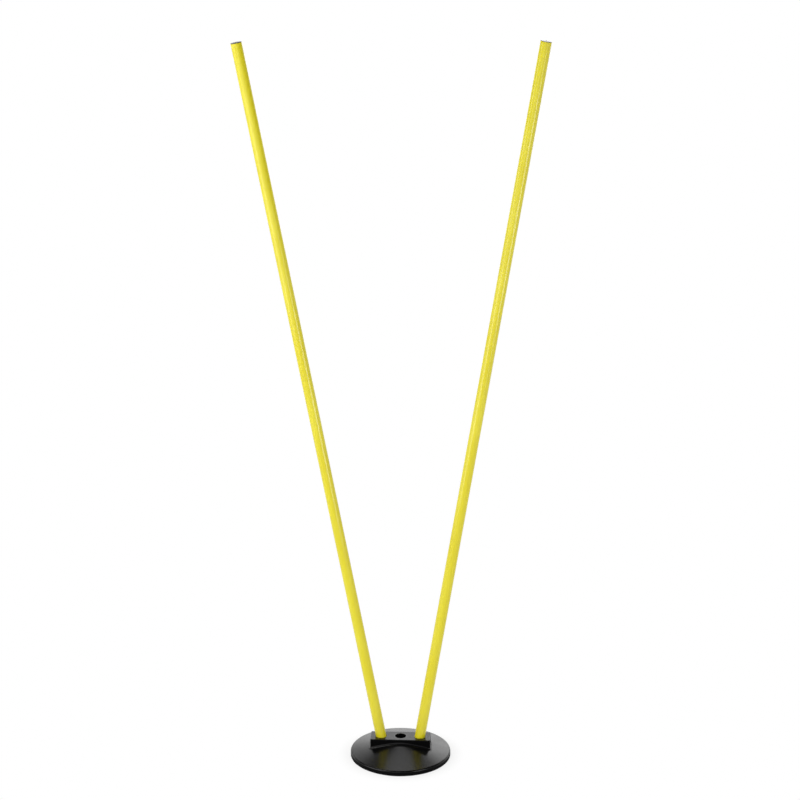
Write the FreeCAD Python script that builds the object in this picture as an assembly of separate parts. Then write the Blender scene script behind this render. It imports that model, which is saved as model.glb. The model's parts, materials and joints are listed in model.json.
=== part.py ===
import FreeCAD, Part
import math
import os

from FreeCAD import Vector

# A pair of slalom poles that stand as a V in one weighted rubber base.
# Millimetres. +Z is up, +X runs along the row of sockets, and -Y is the front.
# The origin is the centre of the underside.

# Poles: plain plastic tubes, each with a push-in plug at both ends
POLE_DIAMETER = 25.0
POLE_LENGTH = 1700.0
TUBE_WALL = 1.8

# Plugs: a thin flange as wide as the tube, and a hollow shank with three grip ribs
PLUG_FLANGE = 2.0
PLUG_CROWN = 0.8
PLUG_EDGE_ROUND = 0.6
PLUG_SHANK_LENGTH = 22.0
PLUG_SHANK_GAP = 0.5
PLUG_SHANK_WALL = 1.6
RIB_COUNT = 3
RIB_PITCH = 5.0
RIB_WIDTH = 1.6
RIB_GAP = 0.05

# Base: a shallow cone with a rounded edge, and a block that carries the sockets
BASE_DIAMETER = 236.0
BASE_WALL_HEIGHT = 9.0
BASE_EDGE_ROUND = 4.0
BASE_FOOT_ROUND = 1.5
CONE_ANGLE = 14.0
BLOCK_LENGTH = 141.0
BLOCK_WIDTH = 46.0
BLOCK_TOP = 47.0
BLOCK_CORNER_ROUND = 3.0
BLOCK_TOP_ROUND = 1.5
BLOCK_FOOT_FILLET = 6.0

# Sockets: one upright in the middle, and one that leans outward near each end
SOCKET_CLEARANCE = 0.5
SOCKET_DEPTH = 40.0
SOCKET_SPACING = 46.0
SOCKET_LEAN = 10.0
SOCKET_MOUTH_ROUND = 0.8

# Each pole tips a little in its socket, both of them to the left, about the middle of its depth
POLE_TIP = 0.75
FOOT_GAP = 0.05

UP = Vector(0, 0, 1)
POLE_RADIUS = POLE_DIAMETER / 2
BORE_RADIUS = POLE_RADIUS - TUBE_WALL
TUBE_LENGTH = POLE_LENGTH - 2 * PLUG_FLANGE
BASE_RADIUS = BASE_DIAMETER / 2
SOCKET_RADIUS = POLE_RADIUS + SOCKET_CLEARANCE


def leaning(side, degrees):
    """The upward direction that leans outward by an angle; side is -1 for left and +1 for right."""
    angle = math.radians(degrees)
    return Vector(side * math.sin(angle), 0, math.cos(angle))


def arc(radius, height, round_radius, start, end):
    """An arc about (radius, height) in the XZ plane, between two angles in degrees from +X."""
    points = []
    for degrees in (start, (start + end) / 2, end):
        angle = math.radians(degrees)
        across = radius + round_radius * math.cos(angle)
        points.append(Vector(across, 0, height + round_radius * math.sin(angle)))
    return Part.Arc(*points).toShape()


def revolved(edges):
    """The solid that a closed outline of edges in the XZ plane sweeps round the Z axis."""
    outline = Part.Wire(Part.__sortEdges__(edges))
    return Part.Face(outline).revolve(Vector(0, 0, 0), UP, 360)


def line(start, end):
    """A straight edge between two (radius, height) points in the XZ plane."""
    return Part.makeLine(Vector(start[0], 0, start[1]), Vector(end[0], 0, end[1]))


def make_disc():
    """The conical disc: flat underside, low wall, rounded edge and a straight cone to its peak."""
    edge_centre = BASE_RADIUS - BASE_EDGE_ROUND
    slope = math.radians(CONE_ANGLE)
    cone_radius = edge_centre + BASE_EDGE_ROUND * math.sin(slope)
    cone_height = BASE_WALL_HEIGHT + BASE_EDGE_ROUND * math.cos(slope)
    peak = cone_height + cone_radius * math.tan(slope)
    foot_centre = BASE_RADIUS - BASE_FOOT_ROUND
    return revolved([
        line((0, 0), (foot_centre, 0)),
        arc(foot_centre, BASE_FOOT_ROUND, BASE_FOOT_ROUND, -90, 0),
        line((BASE_RADIUS, BASE_FOOT_ROUND), (BASE_RADIUS, BASE_WALL_HEIGHT)),
        arc(edge_centre, BASE_WALL_HEIGHT, BASE_EDGE_ROUND, 0, 90 - CONE_ANGLE),
        line((cone_radius, cone_height), (0, peak)),
        line((0, peak), (0, 0)),
    ])


def make_block():
    """The plain socket block, from inside the disc up to its flat top."""
    corner = Vector(-BLOCK_LENGTH / 2, -BLOCK_WIDTH / 2, BASE_WALL_HEIGHT)
    return Part.makeBox(BLOCK_LENGTH, BLOCK_WIDTH, BLOCK_TOP - BASE_WALL_HEIGHT, corner)


def block_edge_round(edge):
    """The rounding of an edge of the block, or 0 for an edge that isn't the block's."""
    box = edge.BoundBox
    beside_block = (max(abs(box.XMin), abs(box.XMax)) > BLOCK_LENGTH / 2 + 0.01
                    or max(abs(box.YMin), abs(box.YMax)) > BLOCK_WIDTH / 2 + 0.01)
    if beside_block or box.ZMin < BASE_WALL_HEIGHT + 0.01:
        return 0
    if box.ZMin > BLOCK_TOP - 0.01:
        return BLOCK_TOP_ROUND
    if box.ZMax > BLOCK_TOP - 0.01:
        return BLOCK_CORNER_ROUND
    return BLOCK_FOOT_FILLET


def rounded(body, edge_round):
    """A body with its edges rounded in one go, each by the radius that edge_round gives."""
    document = FreeCAD.newDocument()
    plain = document.addObject("Part::Feature")
    plain.Shape = body
    fillet = document.addObject("Part::Fillet")
    fillet.Base = plain
    radii = [(number, edge_round(edge)) for number, edge in enumerate(body.Edges, 1)]
    fillet.Edges = [(number, radius, radius) for number, radius in radii if radius > 0]
    document.recompute()
    return fillet.Shape.copy()


def socket_cutter(mouth, direction):
    """A cylinder that cuts one socket: from its flat floor up past its mouth."""
    past_mouth = SOCKET_DEPTH
    floor = mouth - direction * SOCKET_DEPTH
    return Part.makeCylinder(SOCKET_RADIUS, SOCKET_DEPTH + past_mouth, floor, direction)


def socket_places():
    """The mouth's centre and the axis of each socket: left, middle and right."""
    return [(Vector(side * SOCKET_SPACING, 0, BLOCK_TOP), leaning(side, abs(side) * SOCKET_LEAN))
            for side in (-1, 0, 1)]


def socket_edge_round(edge):
    """The rounding of a socket's mouth, which is a closed edge in the block's top face."""
    return SOCKET_MOUTH_ROUND if edge.isClosed() and edge.BoundBox.ZMin > BLOCK_TOP - 0.01 else 0


def make_base():
    """Disc and block as one moulding, filleted where they meet, with three sockets cut in."""
    body = rounded(make_disc().fuse(make_block()), block_edge_round)
    for mouth, direction in socket_places():
        body = body.cut(socket_cutter(mouth, direction))
    return rounded(body, socket_edge_round)


def make_tube():
    """The tube upright, its foot plug's face at the origin."""
    start = Vector(0, 0, PLUG_FLANGE)
    outside = Part.makeCylinder(POLE_RADIUS, TUBE_LENGTH, start, UP)
    return outside.cut(Part.makeCylinder(BORE_RADIUS, TUBE_LENGTH, start, UP))


def crown_arc():
    """The crown of a plug: an arc about a centre on the axis, from the edge's round to the top."""
    half_width = POLE_RADIUS - PLUG_EDGE_ROUND
    crown_radius = (half_width ** 2 + PLUG_CROWN ** 2) / (2 * PLUG_CROWN)
    edge_angle = math.degrees(math.acos(half_width / crown_radius))
    return arc(0, PLUG_FLANGE - crown_radius, crown_radius, edge_angle, 90)


def make_plug():
    """A plug with its flange's inner face at height 0, its crown above and its shank below."""
    crown_foot = PLUG_FLANGE - PLUG_CROWN
    edge_height = crown_foot - PLUG_EDGE_ROUND
    shank_radius = BORE_RADIUS - PLUG_SHANK_GAP
    rib_radius = BORE_RADIUS - RIB_GAP
    hollow_radius = shank_radius - PLUG_SHANK_WALL
    corners = [(POLE_RADIUS, edge_height), (POLE_RADIUS, 0), (shank_radius, 0)]
    for index in range(RIB_COUNT):
        rib_foot = -RIB_PITCH * (index + 1)
        rib_top = rib_foot + RIB_WIDTH
        corners += [(shank_radius, rib_top), (rib_radius, rib_top)]
        corners += [(rib_radius, rib_foot), (shank_radius, rib_foot)]
    corners += [(shank_radius, -PLUG_SHANK_LENGTH), (hollow_radius, -PLUG_SHANK_LENGTH)]
    corners += [(hollow_radius, 0), (0, 0), (0, PLUG_FLANGE)]
    edges = [line(start, end) for start, end in zip(corners, corners[1:])]
    edge_round = arc(POLE_RADIUS - PLUG_EDGE_ROUND, edge_height, PLUG_EDGE_ROUND, 0, 90)
    return revolved(edges + [edge_round, crown_arc()])


def stood_in_socket(piece, side):
    """A piece of an upright pole, moved to where the pole stands in its socket, tipped to the left."""
    lean = SOCKET_LEAN - side * POLE_TIP
    mouth = Vector(side * SOCKET_SPACING, 0, BLOCK_TOP)
    middle = mouth - leaning(side, SOCKET_LEAN) * (SOCKET_DEPTH / 2)
    foot = middle - leaning(side, lean) * (SOCKET_DEPTH / 2 - FOOT_GAP)
    stand = FreeCAD.Placement(foot, FreeCAD.Rotation(UP, leaning(side, lean)))
    placed = piece.copy()
    placed.Placement = stand.multiply(piece.Placement)
    return placed


def make_pole_pieces():
    """The tube and the two plugs of an upright pole, by the names that they share."""
    top_plug = make_plug()
    top_plug.translate(Vector(0, 0, POLE_LENGTH - PLUG_FLANGE))
    foot_plug = make_plug()
    foot_plug.rotate(Vector(0, 0, 0), Vector(1, 0, 0), 180)
    foot_plug.translate(Vector(0, 0, PLUG_FLANGE))
    return {"pole_tube": make_tube(), "top_plug": top_plug, "foot_plug": foot_plug}


pieces = {"base_moulding": make_base()}
for side_name, side in (("left", -1), ("right", 1)):
    for piece_name, piece in make_pole_pieces().items():
        pieces[side_name + "_" + piece_name] = stood_in_socket(piece, side)

os.makedirs("parts", exist_ok=True)
for name, shape in pieces.items():
    shape.exportStep("parts/" + name + ".step")
    box = shape.optimalBoundingBox()
    print("%-18s solids %d  valid %s  volume %.1f cm3  z %.2f to %.2f" % (
        name, len(shape.Solids), shape.isValid(), shape.Volume / 1000, box.ZMin, box.ZMax))
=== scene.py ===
# %% [markdown]
# # Two slalom poles in one rubber base
# The real object is a training aid: two plain yellow plastic poles lean outward from one heavy
# rubber base, and a middle socket takes a single upright pole. Its shapes are turned and moulded
# parts with real sizes, so they come ready made in the frame, and this file dresses them. It
# could have been modelled again here, but then every hole and lean would have to be matched by
# eye. Keeping the frame's parts means that each finish sits on the true shape.

# %% Load the frame
import json
import math

import bpy
import numpy as np
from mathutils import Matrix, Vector


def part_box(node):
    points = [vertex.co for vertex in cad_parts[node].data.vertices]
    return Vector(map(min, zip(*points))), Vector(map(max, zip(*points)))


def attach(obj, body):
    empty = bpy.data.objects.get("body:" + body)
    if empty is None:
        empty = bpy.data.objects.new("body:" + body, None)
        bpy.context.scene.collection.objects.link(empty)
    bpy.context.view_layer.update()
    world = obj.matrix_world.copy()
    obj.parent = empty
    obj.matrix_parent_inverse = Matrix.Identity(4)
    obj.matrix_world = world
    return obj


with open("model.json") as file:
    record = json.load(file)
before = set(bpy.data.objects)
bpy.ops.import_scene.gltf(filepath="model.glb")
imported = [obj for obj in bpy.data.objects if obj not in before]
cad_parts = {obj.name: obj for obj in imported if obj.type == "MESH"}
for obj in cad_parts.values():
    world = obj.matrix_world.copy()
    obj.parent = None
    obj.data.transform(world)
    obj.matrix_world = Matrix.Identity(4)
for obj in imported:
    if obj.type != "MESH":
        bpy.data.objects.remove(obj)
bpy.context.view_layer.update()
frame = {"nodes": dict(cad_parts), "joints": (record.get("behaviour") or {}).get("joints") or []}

# %% Measure the base
base_low, base_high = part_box("base_moulding")
RIM_RADIUS = float(base_high[0] - base_low[0]) / 2
BLOCK_TOP = float(base_high[2])
print("rim radius", round(RIM_RADIUS, 4), "block top", round(BLOCK_TOP, 4))

# %% [markdown]
# # Camera
# The photograph was taken from a little above head height with a short telephoto lens, which
# keeps the two poles almost straight-sided. A camera could be turned by hand until the picture
# looks right, but the poles, the rim and the block's edges were measured in the photograph
# instead, and this place, tilt and lens put them all within half a pixel.

# %% Set up the camera
CAMERA_PLACE = (0.2418, -4.7248, 2.309)
CAMERA_DOWNWARD_TILT = math.radians(16.845)
CAMERA_TURN = math.radians(2.946)
LENS_MM = 98.64
SENSOR_MM = 36.0
FARTHEST_SEEN = 100.0


def add_camera():
    """A level camera, tilted down from the horizon and turned a little to the left."""
    data = bpy.data.cameras.new("camera")
    data.lens = LENS_MM
    data.sensor_width = SENSOR_MM
    data.clip_end = FARTHEST_SEEN
    camera = bpy.data.objects.new("camera", data)
    camera.location = CAMERA_PLACE
    camera.rotation_euler = (math.pi / 2 - CAMERA_DOWNWARD_TILT, 0, CAMERA_TURN)
    bpy.context.collection.objects.link(camera)
    return camera


bpy.context.scene.camera = add_camera()
print("camera is", round(Vector(CAMERA_PLACE).length, 2), "m from the base")

# %% [markdown]
# # Node maths as Python
# A finish is a sum of small patterns: a grain plus a little dust, less the worn places. Nodes can
# be wired by hand, but long chains of Math nodes are hard to read. Here one small class wraps an
# output socket, so that `grain * 0.3 + dust` adds the Multiply and Add nodes by itself, and one
# method adds every other kind of node.


# %% Wrap an output socket
class Wire:
    """An output socket that arithmetic works on: each operator adds a Math node."""

    def __init__(self, sheet, socket):
        self.sheet = sheet
        self.socket = socket

    def pick(self, output):
        """Another output of the same node, by name."""
        return Wire(self.sheet, self.socket.node.outputs[output])

    def math(self, operation, *values):
        """The result of a Math node on wires or numbers."""
        settings = {"operation": operation}
        return self.sheet.node("ShaderNodeMath", settings, dict(enumerate(values)))

    def __add__(self, other):
        return self.math("ADD", self, other)

    def __radd__(self, other):
        return self.math("ADD", other, self)

    def __sub__(self, other):
        return self.math("SUBTRACT", self, other)

    def __rsub__(self, other):
        return self.math("SUBTRACT", other, self)

    def __mul__(self, other):
        return self.math("MULTIPLY", self, other)

    def __rmul__(self, other):
        return self.math("MULTIPLY", other, self)

    def __pow__(self, other):
        return self.math("POWER", self, other)

    def largest(self, other):
        """The larger of this wire and another."""
        return self.math("MAXIMUM", self, other)

    def sine(self):
        """The sine of this wire, in radians."""
        return self.math("SINE", self)


# %% Wrap a node tree
class Sheet:
    """The node tree of one material or of the world."""

    def __init__(self, tree):
        self.tree = tree
        tree.nodes.clear()

    def node(self, kind, settings=None, inputs=None, output=0):
        """A node of any kind: its settings first, then the values or wires of its sockets."""
        made = self.tree.nodes.new(kind)
        for name, value in (settings or {}).items():
            setattr(made, name, value)
        for name, value in (inputs or {}).items():
            if isinstance(value, Wire):
                self.tree.links.new(value.socket, made.inputs[name])
            else:
                made.inputs[name].default_value = value
        return Wire(self, made.outputs[output]) if made.outputs else made

    def mix_colour(self, factor, first, second):
        """A colour between two colours, by the coloured sockets of a Mix node."""
        return self.node("ShaderNodeMix", {"data_type": "RGBA"},
                         {0: factor, 6: first, 7: second}, output=2)

    def smooth(self, value, start, end, low=0.0, high=1.0):
        """A value that eases from low to high as another goes from start to end."""
        return self.node("ShaderNodeMapRange", {"interpolation_type": "SMOOTHSTEP"},
                         {0: value, 1: start, 2: end, 3: low, 4: high})

    def noise(self, place, scale, detail=2.0, roughness=0.5):
        """A cloudy pattern from 0 to 1 at a number of clouds per metre."""
        return self.node("ShaderNodeTexNoise", {},
                         {"Vector": place, "Scale": scale, "Detail": detail,
                          "Roughness": roughness})

    def specks(self, place, scale, size):
        """Small round spots, 1 at their middles, where scale is how many lie in a metre."""
        away = self.node("ShaderNodeTexVoronoi", {}, {"Vector": place, "Scale": scale})
        core = size * 0.3
        return self.smooth(away, size, core)

    def vector(self, operation, first, second, output=0):
        """Vector maths on two vectors."""
        return self.node("ShaderNodeVectorMath", {"operation": operation},
                         {0: first, 1: second}, output=output)

    def bump(self, height, distance):
        """A normal bent by a height from 0 to 1, where 1 stands a distance in metres high."""
        return self.node("ShaderNodeBump", {}, {"Height": height, "Distance": distance})

    def end(self, shader, kind="Material"):
        """Sends a shader to the output of a material or of the world."""
        self.node("ShaderNodeOutput" + kind, {}, {"Surface": shader})


# %% Start a finish
def new_finish(name):
    """A material with an empty node tree, and the sheet that fills it."""
    material = bpy.data.materials.new(name)
    material.use_nodes = True
    return material, Sheet(material.node_tree)


# %% [markdown]
# # Studio
# The photograph is a cut-out style picture: everything round the object is white, and only a
# faint contact shadow is left under the rim. The white could be made with a very strong light,
# but then the yellow would wash out. Instead the floor and the world are simply white to the
# camera, and the lamps stay at a plain level. Black rubber is painted almost wholly by what it
# mirrors, so the world is also shaped: a pale wall behind the object, a dark ceiling, and a dark
# room round the camera.

# %% Shape the room's light
WHITE = (1, 1, 1, 1)
WALL_GLOW = 0.9
WALL_TOP = (0.55, 0.75)
WALL_SIDE = (0.2, 0.6)
ROOM_LIGHT = 0.48


def light_the_room():
    """White for the camera, a pale wall in the dark for gloss, and one soft level for the rest.
    The wall's top and sides fade over ranges of a direction's Z and Y."""
    world = bpy.data.worlds.new("studio")
    world.use_nodes = True
    bpy.context.scene.world = world
    sheet = Sheet(world.node_tree)
    direction = sheet.node("ShaderNodeTexCoord")
    parts = sheet.node("ShaderNodeSeparateXYZ", {}, {0: direction})
    below_ceiling = sheet.smooth(parts.pick("Z"), *WALL_TOP, WALL_GLOW, 0.0)
    mirrored = below_ceiling * sheet.smooth(parts.pick("Y"), *WALL_SIDE)
    ray = sheet.node("ShaderNodeLightPath")
    gloss = ray.pick("Is Glossy Ray").largest(ray.pick("Is Transmission Ray"))
    camera = ray.pick("Is Camera Ray")
    strength = camera + (1 - camera) * (gloss * mirrored + (1 - gloss) * ROOM_LIGHT)
    background = sheet.node("ShaderNodeBackground", {}, {"Color": WHITE, "Strength": strength})
    sheet.end(background, "World")


light_the_room()
print("the wall glows at", WALL_GLOW, "and the room lights at", ROOM_LIGHT)

# %% Lay the floor
FLOOR_REACH = 60.0
FLOOR_WHITE = 0.9
FLOOR_SHADOW = 0.2
SHADOW_REACH = 0.155


def lay_floor():
    """A wide level sheet, white to the camera and in gloss. Near the object part of its shading
    is left in, so that it keeps the contact shadow, and this part fades out further away."""
    mesh = bpy.data.meshes.new("floor")
    reach = FLOOR_REACH
    corners = [(-reach, -reach, 0), (reach, -reach, 0), (reach, reach, 0), (-reach, reach, 0)]
    mesh.from_pydata(corners, [], [(0, 1, 2, 3)])
    floor = bpy.data.objects.new("floor", mesh)
    bpy.context.collection.objects.link(floor)
    material, sheet = new_finish("floor_white")
    place = sheet.node("ShaderNodeTexCoord").pick("Object")
    away = sheet.vector("LENGTH", place, (0, 0, 0), "Value")
    kept = sheet.smooth(away, SHADOW_REACH, RIM_RADIUS, 0.0, FLOOR_SHADOW)
    ray = sheet.node("ShaderNodeLightPath")
    seen = ray.pick("Is Camera Ray").largest(ray.pick("Is Glossy Ray"))
    seen = seen.largest(ray.pick("Is Transmission Ray"))
    shaded = sheet.node("ShaderNodeBsdfDiffuse", {}, {"Color": (FLOOR_WHITE,) * 3 + (1,)})
    white = sheet.node("ShaderNodeEmission", {}, {"Color": WHITE, "Strength": 1.0})
    sheet.end(sheet.node("ShaderNodeMixShader", {}, {0: seen * (1 - kept), 1: shaded, 2: white}))
    mesh.materials.append(material)


lay_floor()
print("the floor keeps", FLOOR_SHADOW, "of its shading out to", SHADOW_REACH, "m")

# %% [markdown]
# # Soft boxes
# The lamps can't be seen in the photograph, but their mirror images can, as pale bands on the
# poles and on the rubber. They could be placed by taste. Here each soft box was rendered alone,
# and the brightnesses that add up closest to the photograph's bands were worked out from those
# renders, and then adjusted a little.

# %% Hang the soft boxes
# Each row gives a name, and then place, aim, width, height and radiance.
SOFT_BOXES = {
    "back": ((0, 3.0, 0.95), (0, 0, 0.65), 2.0, 1.85, 0.75),
    "back_right": ((1.0, 3.0, 1.3), (0, 0, 0.2), 1.0, 1.3, 1.1),
    "back_high": ((0.6, 3.0, 2.3), (0, 0, 0.8), 1.0, 0.9, 1.68),
    "over_back": ((0, 1.25, 2.3), (0, 0, 0.2), 1.0, 0.7, 1.79),
    "high_left": ((-1.3, -0.9, 2.4), (0, 0, 0.4), 0.8, 0.8, 4.5),
    "left": ((-2.4, -0.8, 1.5), (0, 0, 0.9), 1.3, 1.0, 2.3),
    "left_low": ((-2.4, -0.8, 0.5), (0, 0, 0.5), 1.3, 0.9, 0.97),
    "front_left": ((-1.9, -1.9, 0.5), (0, 0, 0.5), 1.2, 0.9, 3.4),
    "front": ((-0.6, -3.0, 0.9), (0, 0, 0.8), 1.5, 1.2, 0.9),
    "front_right": ((1.9, -1.9, 0.5), (0, 0, 0.5), 1.2, 0.9, 4.6),
}


def hang_soft_box(name, place, aim, width, height, radiance):
    """A flat lamp that faces its aim; radiance is how bright its face is, and 1 is white."""
    data = bpy.data.lights.new(name, "AREA")
    data.shape = "RECTANGLE"
    data.size = width
    data.size_y = height
    data.energy = radiance * width * height * math.pi
    lamp = bpy.data.objects.new(name, data)
    lamp.location = place
    lamp.rotation_euler = (Vector(aim) - Vector(place)).to_track_quat("-Z", "Y").to_euler()
    lamp.visible_camera = False
    bpy.context.collection.objects.link(lamp)
    print(name, "gives", round(data.energy, 1), "W")


for name, settings in SOFT_BOXES.items():
    hang_soft_box(name, *settings)

# %% [markdown]
# # Rubber
# The base is one moulding of solid rubber, poured into a turned steel mould. Its upper faces copy
# the mould's skin: a satin shine, with the lathe's fine rings on the cone. Its upright faces drag
# along the steel as it is pulled out, which leaves them matt. One plain roughness could stand for
# both, but then the sides would shine as the top does. Here the dull rubber is the body of the
# shader, and the skin is a coat over it whose weight falls off where the face is steep.


# %% Patterns of the moulded skin
SOCKET_SPACING = 0.046
SOCKET_RADIUS = 0.013
RUBBED_RADII = (SOCKET_RADIUS + 0.0035, SOCKET_RADIUS + 0.0005)
RUBBED_HEIGHTS = (BLOCK_TOP - 0.004, BLOCK_TOP - 0.001)
MOULD_RING_PITCH = 0.0016
WOBBLES_PER_METRE = 60.0
WOBBLE_SIZE = 3.0
DRIFTS_PER_METRE = 26.0
DRIFT_EDGE = (0.5, 0.8)
DRIFT_DUST = 0.25
SPECKS_PER_METRE = 420.0
SPECK_SIZE = 0.16
SPECK_DUST = 0.6
PATCHES_PER_METRE = 90.0
PATCH_EDGE = (0.5, 0.62)


def mould_rings(sheet, place, radius):
    """Fine rings round the middle, the lathe's mark on the mould, uneven as a worn tool cuts."""
    wobble = sheet.noise(place, WOBBLES_PER_METRE) * WOBBLE_SIZE
    return (radius * (2 * math.pi / MOULD_RING_PITCH) + wobble).sine() * 0.5 + 0.5


def near_sockets(sheet, parts):
    """1 on the lip of a socket's mouth, where poles rub as they are put in, and 0 away from it."""
    rubbed = 0.0
    for side in (-1, 0, 1):
        across = parts.pick("X") - side * SOCKET_SPACING
        away = (across * across + parts.pick("Y") * parts.pick("Y")) ** 0.5
        lip = sheet.smooth(away, *RUBBED_RADII)
        rubbed = lip if side == -1 else rubbed.largest(lip)
    return rubbed * sheet.smooth(parts.pick("Z"), *RUBBED_HEIGHTS)


def settled_dust(sheet, place, level):
    """Thin dust in drifts with a few bright specks, only where a face looks up."""
    drift = sheet.smooth(sheet.noise(place, DRIFTS_PER_METRE, 5.0, 0.65), *DRIFT_EDGE)
    patch = sheet.smooth(sheet.noise(place, PATCHES_PER_METRE), *PATCH_EDGE)
    spots = sheet.specks(place, SPECKS_PER_METRE, SPECK_SIZE) * patch
    return level * (drift * DRIFT_DUST + spots * SPECK_DUST)


# %% Mix the rubber
RUBBER_BLACK = (0.002, 0.002, 0.0022, 1)
RUBBER_DUST = (0.085, 0.08, 0.07, 1)
RUBBER_IOR = 1.5
STEEP_TO_LEVEL = (0.05, 0.4)
FLAT_TO_CONE = (0.995, 0.985)
BODY_ROUGHNESS = 0.5
BODY_GLOSS = 0.04
SKIN_WEIGHT = 0.9
SKIN_ROUGHNESS = 0.24
RUBBER_RELIEF = 0.00004
RUBBER_GRAINS_PER_METRE = 1500.0
RUBBER_CLOUDS_PER_METRE = 22.0


def mix_rubber():
    """Black moulded rubber: a satin skin on the faces that look up, matt on the upright ones."""
    material, sheet = new_finish("moulded_rubber")
    texture = sheet.node("ShaderNodeTexCoord")
    place = texture.pick("Object")
    parts = sheet.node("ShaderNodeSeparateXYZ", {}, {0: place})
    upward = sheet.node("ShaderNodeSeparateXYZ", {}, {0: texture.pick("Normal")}).pick("Z")
    level = sheet.smooth(upward, *STEEP_TO_LEVEL)
    radius = sheet.vector("LENGTH", sheet.vector("MULTIPLY", place, (1, 1, 0)), (0, 0, 0), "Value")
    cone = level * sheet.smooth(upward, *FLAT_TO_CONE)
    grain = sheet.noise(place, RUBBER_GRAINS_PER_METRE, 3.0)
    cloud = sheet.noise(place, RUBBER_CLOUDS_PER_METRE, 4.0)
    rings = mould_rings(sheet, place, radius)
    dust = settled_dust(sheet, place, level)
    rubbed = near_sockets(sheet, parts)
    height = grain * 0.7 + rings * cone * 0.3
    shader = sheet.node("ShaderNodeBsdfPrincipled", {}, {
        "Base Color": sheet.mix_colour(dust * 0.3, RUBBER_BLACK, RUBBER_DUST),
        "Roughness": BODY_ROUGHNESS + cloud * 0.15 + dust * 0.2 - rubbed * 0.2,
        "IOR": RUBBER_IOR,
        "Specular IOR Level": BODY_GLOSS,
        "Coat Weight": level * (SKIN_WEIGHT - cloud * 0.1 - dust * 0.5) + rubbed * 0.2,
        "Coat Roughness": SKIN_ROUGHNESS,
        "Coat IOR": RUBBER_IOR,
        "Normal": sheet.bump(height, RUBBER_RELIEF)})
    sheet.end(shader)
    return material


rubber = mix_rubber()
print("rubber has", len(rubber.node_tree.nodes), "nodes")

# %% [markdown]
# # Pole plastic
# The poles are extruded tube: hot plastic is pushed through a ring-shaped die, which leaves faint
# lines along the whole length, and the surface cools with a slight ripple. A plain noise would
# put round blotches on the tube instead. Here each pole gets its own copy of the finish, and a
# Mapping node turns the pattern into that pole's own frame, so the lines follow its lean.


# %% Find how each pole stands
def pole_stand(side):
    """The middle of a pole's tube and its lean about Y, from the frame's box and joint."""
    low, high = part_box(side + "_pole_tube")
    axis = next(joint["axis"] for joint in frame["joints"] if joint["name"] == side + "_pole_lift")
    middle = (Vector(low) + Vector(high)) / 2
    return middle, math.atan2(axis[0], axis[2])


for side in ("left", "right"):
    middle, lean = pole_stand(side)
    print(side, "pole: middle", [round(value, 4) for value in middle],
          "lean", round(math.degrees(lean), 2))

# %% Patterns of the drawn tube
# Heights along a pole are measured from the middle of its tube.
FOOT_OF_TUBE = -0.848
SOCKET_DEPTH = 0.04
SCUFFED_HEIGHTS = (FOOT_OF_TUBE + SOCKET_DEPTH * 2.2, FOOT_OF_TUBE + SOCKET_DEPTH * 0.8)
LINES_PER_METRE = 700.0
LINE_STRETCH = 60
SCRATCHES_PER_METRE = 1200.0
SCRATCH_SHORTENING = 0.06
SCRATCH_EDGE = (0.52, 0.7)


def die_lines(sheet, place):
    """Lines along the tube: noise whose features are many times longer than wide."""
    stretched = sheet.vector("MULTIPLY", place, (1, 1, 1 / LINE_STRETCH))
    return sheet.noise(stretched, LINES_PER_METRE, 3.0, 0.6)


def foot_scuffs(sheet, place, along):
    """Rubbed scratches near the foot, where the tube slides in and out of its socket."""
    near_foot = sheet.smooth(along, *SCUFFED_HEIGHTS)
    stretched = sheet.vector("MULTIPLY", place, (1, 1, SCRATCH_SHORTENING))
    streaks = sheet.noise(stretched, SCRATCHES_PER_METRE, 3.0, 0.7)
    return near_foot * sheet.smooth(streaks, *SCRATCH_EDGE)


# %% Mix the pole plastic
POLE_YELLOW = (0.76, 0.66, 0.012, 1)
POLE_PALE = (0.8, 0.71, 0.03, 1)
POLE_GRIME = (0.22, 0.19, 0.03, 1)
POLE_ROUGHNESS = 0.17
POLE_RELIEF = 0.00001
PLASTIC_IOR = 1.5
RIPPLES_PER_METRE = 170.0
PALE_PATCHES_PER_METRE = 30.0
PALE_PATCH_SHORTENING = 0.25
PALE_PATCH_EDGE = (0.35, 0.7)


def mix_pole_plastic(side):
    """Yellow extruded plastic with a soft shine, lined along one pole."""
    material, sheet = new_finish("yellow_plastic_" + side)
    middle, lean = pole_stand(side)
    place = sheet.node("ShaderNodeMapping", {"vector_type": "TEXTURE"}, {
        "Vector": sheet.node("ShaderNodeTexCoord").pick("Object"),
        "Location": middle, "Rotation": (0, lean, 0)})
    along = sheet.node("ShaderNodeSeparateXYZ", {}, {0: place}).pick("Z")
    lines = die_lines(sheet, place)
    ripple = sheet.noise(place, RIPPLES_PER_METRE, 2.0)
    stretched = sheet.vector("MULTIPLY", place, (1, 1, PALE_PATCH_SHORTENING))
    cloud = sheet.noise(stretched, PALE_PATCHES_PER_METRE, 3.0)
    scuffs = foot_scuffs(sheet, place, along)
    pale = sheet.smooth(cloud, *PALE_PATCH_EDGE)
    yellow = sheet.mix_colour(pale, POLE_YELLOW, POLE_PALE)
    shader = sheet.node("ShaderNodeBsdfPrincipled", {}, {
        "Base Color": sheet.mix_colour(scuffs * 0.35, yellow, POLE_GRIME),
        "Roughness": POLE_ROUGHNESS + lines * 0.05 + scuffs * 0.2,
        "IOR": PLASTIC_IOR,
        "Normal": sheet.bump(lines * 0.6 + ripple * 0.4, POLE_RELIEF)})
    sheet.end(shader)
    return material


pole_plastic = {side: mix_pole_plastic(side) for side in ("left", "right")}
print("pole plastic has", len(pole_plastic["left"].node_tree.nodes), "nodes")

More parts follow.
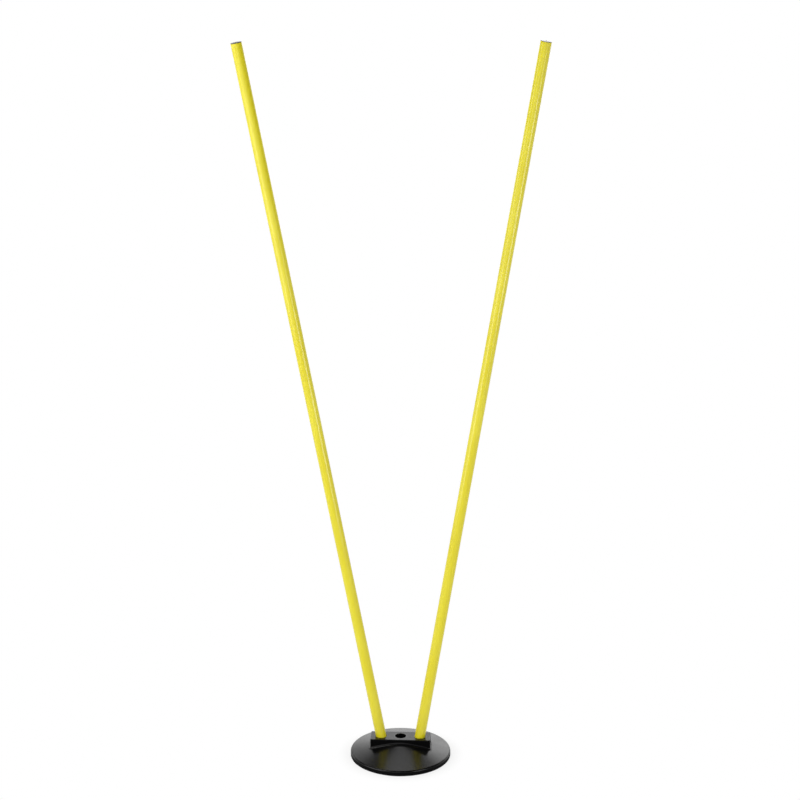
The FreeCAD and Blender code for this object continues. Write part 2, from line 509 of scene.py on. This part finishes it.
# %% [markdown]
# # Plug plastic
# The plugs are small black mouldings, pushed into the tube's ends. The mould leaves a fine grain
# on their crowns, and hands wear them paler and smoother in patches. A matt black would show each
# crown as a broad dark band from the side. The photograph has a thin dark line there, so the
# finish is smooth enough for the crown to mirror the pale wall behind it.


# %% Mix the plug plastic
PLUG_BLACK = (0.006, 0.006, 0.007, 1)
PLUG_WORN = (0.018, 0.018, 0.019, 1)
PLUG_ROUGHNESS = 0.2
PLUG_RELIEF = 0.00001
PLUG_GRAINS_PER_METRE = 2600.0
PLUG_CLOUDS_PER_METRE = 160.0
WORN_PATCHES_PER_METRE = 420.0
WORN_PATCH_EDGE = (0.5, 0.75)


def mix_plug_plastic():
    """Black moulded plastic with a fine grain, worn smoother in patches."""
    material, sheet = new_finish("black_plastic")
    place = sheet.node("ShaderNodeTexCoord").pick("Object")
    grain = sheet.noise(place, PLUG_GRAINS_PER_METRE, 3.0, 0.7)
    cloud = sheet.noise(place, PLUG_CLOUDS_PER_METRE, 3.0)
    wear = sheet.noise(place, WORN_PATCHES_PER_METRE, 4.0, 0.7)
    worn = sheet.smooth(wear, *WORN_PATCH_EDGE)
    shader = sheet.node("ShaderNodeBsdfPrincipled", {}, {
        "Base Color": sheet.mix_colour(worn * 0.6, PLUG_BLACK, PLUG_WORN),
        "Roughness": PLUG_ROUGHNESS + cloud * 0.1 - worn * 0.05,
        "IOR": PLASTIC_IOR,
        "Normal": sheet.bump(grain, PLUG_RELIEF)})
    sheet.end(shader)
    return material


plug_plastic = mix_plug_plastic()
print("plug plastic has", len(plug_plastic.node_tree.nodes), "nodes")


# %% Give each node its finish
def finish_of(name):
    """The finish of a CAD node, by its name."""
    if name.startswith("base"):
        return rubber
    if name.endswith("plug"):
        return plug_plastic
    return pole_plastic[name.split("_")[0]]


for name, node in frame["nodes"].items():
    for material_slot in node.material_slots:
        material_slot.material = finish_of(name)
    print(name, "is", finish_of(name).name)

# %% [markdown]
# # Gate marks
# Hot plastic fills each plug through a small gate in the middle of its crown, and where the
# runner is snapped off it leaves a low round stub. A bump in the material could fake it, but it
# has an edge that catches the light, so it is a small turned surface that stands on the crown.


# %% Turn a profile
def turned_surface(profile, sides):
    """The skin that a profile sweeps round Z: a point at radius r and height h becomes a ring at
    (r cos a, r sin a, h). The first and last points lie on the axis, a vertex each."""
    radius, height = np.asarray(profile, dtype=float).T
    angle = np.arange(sides) * (2 * np.pi / sides)
    inner = slice(1, -1)
    rings = np.stack([radius[inner, None] * np.cos(angle), radius[inner, None] * np.sin(angle),
                      height[inner, None] + 0 * angle], axis=-1).reshape(-1, 3)
    points = np.concatenate([rings, [(0, 0, height[0]), (0, 0, height[-1])]])
    place = np.arange(len(rings)).reshape(-1, sides)
    beside = np.roll(place, -1, axis=1)
    quads = np.stack([place[:-1], beside[:-1], beside[1:], place[1:]], axis=-1).reshape(-1, 4)
    foot = np.stack([beside[0], place[0], np.full(sides, len(rings))], axis=-1)
    top = np.stack([place[-1], beside[-1], np.full(sides, len(rings) + 1)], axis=-1)
    return points, quads.tolist() + foot.tolist() + top.tolist()


def add_piece(name, points, faces, material, slot, body):
    """A smooth mesh object of given points and faces, dressed and riding on a body."""
    mesh = bpy.data.meshes.new(name)
    mesh.from_pydata(points.tolist(), [], faces)
    mesh.polygons.foreach_set("use_smooth", np.ones(len(mesh.polygons), dtype=bool))
    mesh.materials.append(material)
    piece = bpy.data.objects.new(name, mesh)
    bpy.context.collection.objects.link(piece)
    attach(piece, body)
    print(name, "has", len(mesh.polygons), "faces")
    return piece


# %% Snap off the gates
CROWN_ABOVE_MIDDLE = 0.85
GATE_SIDES = 48
GATE_PROFILE_MM = [(0, -0.15), (1.5, -0.15), (1.5, 0.12), (1.42, 0.2), (1.3, 0.24), (0.9, 0.25),
                   (0.7, 0.22), (0.55, 0.2), (0.4, 0.24), (0.25, 0.31), (0.1, 0.33), (0, 0.33)]

for side in ("left", "right"):
    middle, lean = pole_stand(side)
    points, faces = turned_surface(np.array(GATE_PROFILE_MM) / 1000, GATE_SIDES)
    across = np.array([math.cos(lean), 0, -math.sin(lean)])
    along = np.array([math.sin(lean), 0, math.cos(lean)])
    points = (np.array(middle) + points[:, :1] * across + points[:, 1:2] * np.array([0, 1, 0])
              + (points[:, 2:] + CROWN_ABOVE_MIDDLE) * along)
    add_piece(side + "_gate_mark", points, faces, plug_plastic, "plug_plastic", side + "_pole")

# %% [markdown]
# # Flash lip
# Where the two halves of the rubber mould meet, round the foot, a thin lip of rubber squeezes out
# and is trimmed with a knife, never quite evenly. A plain ring would look machined. This one is
# as thin as a card, and its outer edge wanders in and out by three sizes of wave.


# %% Trim the flash
FLASH_RADIUS = 0.117
FLASH_REACH = 0.00045
FLASH_THICKNESS = 0.0003
FLASH_WAVES = ((7, 0.3, 1), (19, 0.2, 2), (43, 0.15, 0))


def flash_lip(turns=720, section=10):
    """A closed ring: an ellipse of half-width w(a) and fixed half-height, carried round a circle,
    where w(a) is the reach times one plus a sine for each wave. A wave is a count of whole turns,
    so that the ring meets itself, a size and a start."""
    around = (np.arange(turns) * (2 * np.pi / turns))[:, None]
    across = (np.arange(section) * (2 * np.pi / section))[None, :]
    wander = sum(size * np.sin(count * around + start) for count, size, start in FLASH_WAVES)
    radius = FLASH_RADIUS + FLASH_REACH * (1 + wander) * np.cos(across)
    height = FLASH_THICKNESS / 2 * (1 + np.sin(across)) + 0 * around
    points = np.stack([radius * np.cos(around), radius * np.sin(around), height], axis=-1)
    place = np.arange(turns * section).reshape(turns, section)
    ahead, beside = np.roll(place, -1, axis=0), np.roll(place, -1, axis=1)
    corner = np.roll(ahead, -1, axis=1)
    quads = np.stack([place, ahead, corner, beside], axis=-1).reshape(-1, 4)
    return points.reshape(-1, 3), quads.tolist()


add_piece("base_flash_lip", *flash_lip(), rubber, "base_rubber", "base")

# %% [markdown]
# Colour view
# The view shows colours plainly, with the Standard transform.

# %% Set the colour view
bpy.context.scene.view_settings.view_transform = "Standard"
